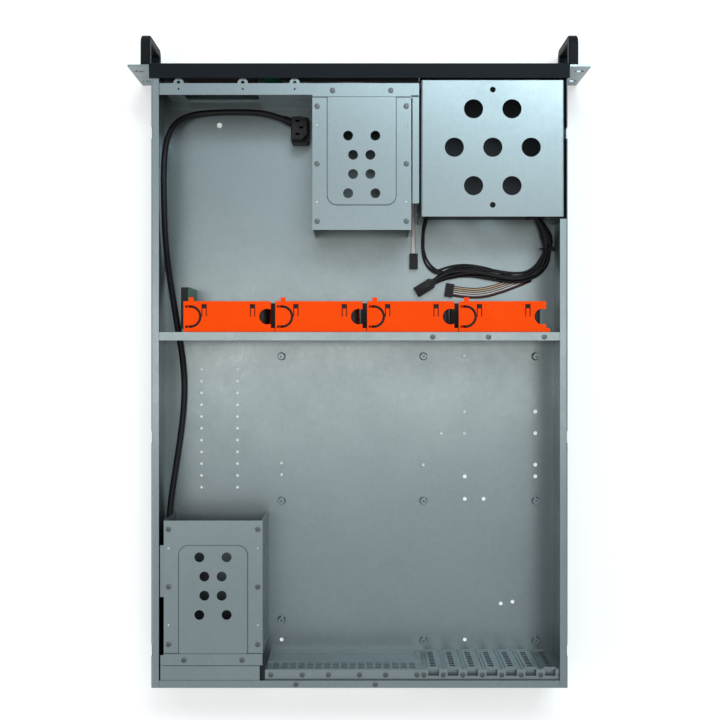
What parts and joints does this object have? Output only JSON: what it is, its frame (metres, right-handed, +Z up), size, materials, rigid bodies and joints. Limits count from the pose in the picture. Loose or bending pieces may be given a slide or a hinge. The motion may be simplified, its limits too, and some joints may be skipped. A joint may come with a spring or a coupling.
{
  "type": "rackmount server case",
  "caption": "Open two-unit rackmount server case of folded steel, with drive cages, card slot covers, lift-out fan modules, rack ears and handles.",
  "frame": {"origin": "underside of the floor, at the middle of the case's width and of its 650 mm depth", "axes": "+Z up, front bezel and handles towards -Y, +X to the right seen from the front"},
  "size_m": [0.4826, 0.6845, 0.0878],
  "materials": {
    "galvanised_steel": "galvanised sheet",
    "black_paint": "satin black",
    "orange_plastic": "moulded orange",
    "black_plastic": "moulded black",
    "green_board": "solder mask",
    "zinc_screws": "zinc plated",
    "black_cable": "soft black sheath",
    "grey_lead": "grey sheath",
    "ribbon_wires": "coloured wires",
    "clear_lens": "clear light pipe"
  },
  "bodies": {
    "chassis": {"base_tray": "galvanised_steel", "rear_panel": "galvanised_steel", "io_plate": "galvanised_steel", "front_wall": "galvanised_steel", "bay_cage": "galvanised_steel", "front_drive_cage": "galvanised_steel", "front_drive_cage_cover": "galvanised_steel", "rear_drive_cage": "galvanised_steel", "rear_drive_cage_cover": "galvanised_steel", "rear_cage_bracket": "galvanised_steel", "fan_wall": "galvanised_steel", "rack_ear_left": "galvanised_steel", "rack_ear_right": "galvanised_steel", "front_bezel": "black_paint", "bay_blank_lower": "black_paint", "bay_blank_upper": "black_paint", "handle_left": "black_paint", "handle_right": "black_paint", "status_lenses": "clear_lens", "control_board": "green_board", "fan_boards": "green_board", "fan_sockets": "black_plastic", "mains_inlet": "black_plastic", "mains_plug": "black_plastic", "mains_cord": "black_cable", "harness_bundle": "black_cable", "panel_lead": "grey_lead", "harness_ribbon": "ribbon_wires", "harness_connector": "black_plastic", "bay_connector": "black_plastic", "panel_connector": "black_plastic", "ribbon_connector": "black_plastic", "cable_tie": "black_plastic", "slot_screws": "zinc_screws", "rear_panel_screws": "zinc_screws", "front_cage_screws": "zinc_screws", "rear_cage_screws": "zinc_screws", "fan_wall_screws": "zinc_screws", "slot_cover_1": "galvanised_steel", "slot_cover_2": "galvanised_steel", "slot_cover_3": "galvanised_steel", "slot_cover_4": "galvanised_steel", "slot_cover_5": "galvanised_steel", "slot_cover_6": "galvanised_steel", "slot_cover_7": "galvanised_steel"},
    "fan_module_1": {"fan_carrier_1": "orange_plastic", "fan_frame_1": "black_plastic"},
    "fan_module_2": {"fan_carrier_2": "orange_plastic", "fan_frame_2": "black_plastic"},
    "fan_module_3": {"fan_carrier_3": "orange_plastic", "fan_frame_3": "black_plastic"},
    "fan_module_4": {"fan_carrier_4": "orange_plastic", "fan_frame_4": "black_plastic"},
    "fan_rotor_1": {"fan_rotor_1": "black_plastic"},
    "fan_rotor_2": {"fan_rotor_2": "black_plastic"},
    "fan_rotor_3": {"fan_rotor_3": "black_plastic"},
    "fan_rotor_4": {"fan_rotor_4": "black_plastic"},
    "power_button": {"power_button": "black_plastic"},
    "reset_button": {"reset_button": "black_plastic"}
  },
  "joints": [
    {"name": "fan_lift_1", "type": "slide", "parent": "chassis", "child": "fan_module_1", "axis": [0, 0, 1], "range_m": [0, 0.09]},
    {"name": "fan_lift_2", "type": "slide", "parent": "chassis", "child": "fan_module_2", "axis": [0, 0, 1], "range_m": [0, 0.09]},
    {"name": "fan_lift_3", "type": "slide", "parent": "chassis", "child": "fan_module_3", "axis": [0, 0, 1], "range_m": [0, 0.09]},
    {"name": "fan_lift_4", "type": "slide", "parent": "chassis", "child": "fan_module_4", "axis": [0, 0, 1], "range_m": [0, 0.09]},
    {"name": "fan_spin_1", "type": "hinge", "parent": "fan_module_1", "child": "fan_rotor_1", "pos_m": [0.13795, -0.0616, 0.0415], "axis": [0, 1, 0], "continuous": true},
    {"name": "fan_spin_2", "type": "hinge", "parent": "fan_module_2", "child": "fan_rotor_2", "pos_m": [0.04225, -0.0616, 0.0415], "axis": [0, 1, 0], "continuous": true},
    {"name": "fan_spin_3", "type": "hinge", "parent": "fan_module_3", "child": "fan_rotor_3", "pos_m": [-0.05345, -0.0616, 0.0415], "axis": [0, 1, 0], "continuous": true},
    {"name": "fan_spin_4", "type": "hinge", "parent": "fan_module_4", "child": "fan_rotor_4", "pos_m": [-0.14915, -0.0616, 0.0415], "axis": [0, 1, 0], "continuous": true},
    {"name": "power_press", "type": "slide", "parent": "chassis", "child": "power_button", "axis": [0, 1, 0], "range_m": [0, 0.0014], "stiffness_N_per_m": 600},
    {"name": "reset_press", "type": "slide", "parent": "chassis", "child": "reset_button", "axis": [0, 1, 0], "range_m": [0, 0.0014], "stiffness_N_per_m": 600}
  ]
}
